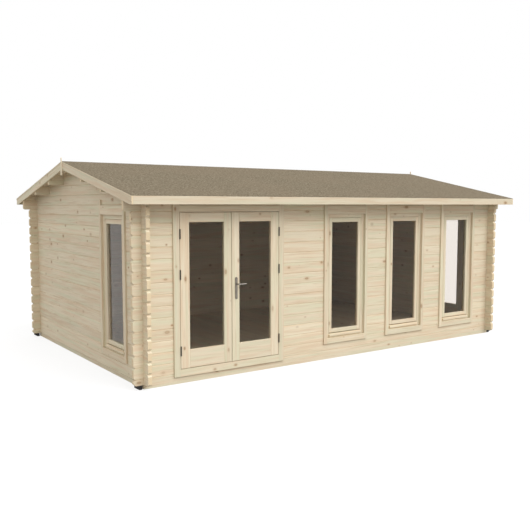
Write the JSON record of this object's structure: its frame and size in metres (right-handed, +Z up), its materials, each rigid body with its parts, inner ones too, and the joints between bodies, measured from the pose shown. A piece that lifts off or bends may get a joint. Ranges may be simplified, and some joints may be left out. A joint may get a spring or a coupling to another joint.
{
  "type": "log cabin",
  "caption": "Timber log cabin with a low gabled felt roof, an outward-opening glazed double door and tall windows in the front and both gables.",
  "frame": {"origin": "on the ground, at the middle of the roof's outline seen from above", "axes": "+X to the right along the front, +Y from the front to the back, +Z up; the double door and three windows face -Y"},
  "size_m": [6.232, 4.2, 2.562],
  "materials": {
    "log_wood": "untreated planed softwood logs with knots",
    "joinery_wood": "untreated planed softwood joinery",
    "trim_wood": "untreated planed softwood boards",
    "roof_wood": "tongued and grooved softwood boards and purlins",
    "floor_wood": "softwood floorboards, bearers and beams",
    "roof_felt": "mineral granules on bitumen felt",
    "glass": "clear",
    "hinge_metal": "dark satin",
    "handle_metal": "satin",
    "pad_rubber": "matt black"
  },
  "bodies": {
    "cabin": {"back_barge_boards": "trim_wood", "back_eaves_log": "log_wood", "back_felt": "roof_felt", "back_roof_boards": "roof_wood", "back_wall": "log_wood", "corner_pads": "pad_rubber", "door_head": "joinery_wood", "door_jambs": "joinery_wood", "door_sill": "joinery_wood", "door_stops": "joinery_wood", "eaves_boards": "trim_wood", "finials": "trim_wood", "floor": "floor_wood", "floor_bearers": "floor_wood", "frame_hinges": "hinge_metal", "front_barge_boards": "trim_wood", "front_eaves_log": "log_wood", "front_felt": "roof_felt", "front_roof_boards": "roof_wood", "front_wall_half_log": "log_wood", "front_wall_left": "log_wood", "front_wall_piers": "log_wood", "front_wall_right": "log_wood", "front_wall_under_windows": "log_wood", "left_gable": "log_wood", "left_wall_back": "log_wood", "left_wall_base": "log_wood", "left_wall_front": "log_wood", "long_beams": "floor_wood", "lower_purlins": "roof_wood", "ridge_purlin": "roof_wood", "right_gable": "log_wood", "right_wall_back": "log_wood", "right_wall_base": "log_wood", "right_wall_front": "log_wood", "side_beams": "floor_wood", "upper_purlins": "roof_wood", "window_frames": "joinery_wood", "window_glass": "glass", "window_sashes": "joinery_wood"},
    "left_leaf": {"left_door": "joinery_wood", "left_door_glass": "glass", "left_door_hinges": "hinge_metal"},
    "right_leaf": {"handle_plates": "handle_metal", "right_door": "joinery_wood", "right_door_glass": "glass", "right_door_hinges": "hinge_metal"},
    "lever": {"door_handle": "handle_metal"}
  },
  "joints": [
    {"name": "left_leaf_hinge", "type": "hinge", "parent": "cabin", "child": "left_leaf", "pos_m": [-2.444, -1.878, 1], "axis": [0, 0, -1], "range_deg": [0, 100]},
    {"name": "right_leaf_hinge", "type": "hinge", "parent": "cabin", "child": "right_leaf", "pos_m": [-1.116, -1.878, 1], "axis": [0, 0, 1], "range_deg": [0, 100]},
    {"name": "lever_turn", "type": "hinge", "parent": "right_leaf", "child": "lever", "pos_m": [-1.722, -1.849, 1.063], "axis": [0, 1, 0], "range_deg": [0, 35], "stiffness_Nm_per_rad": 1.5, "springref_deg": -22.92}
  ]
}
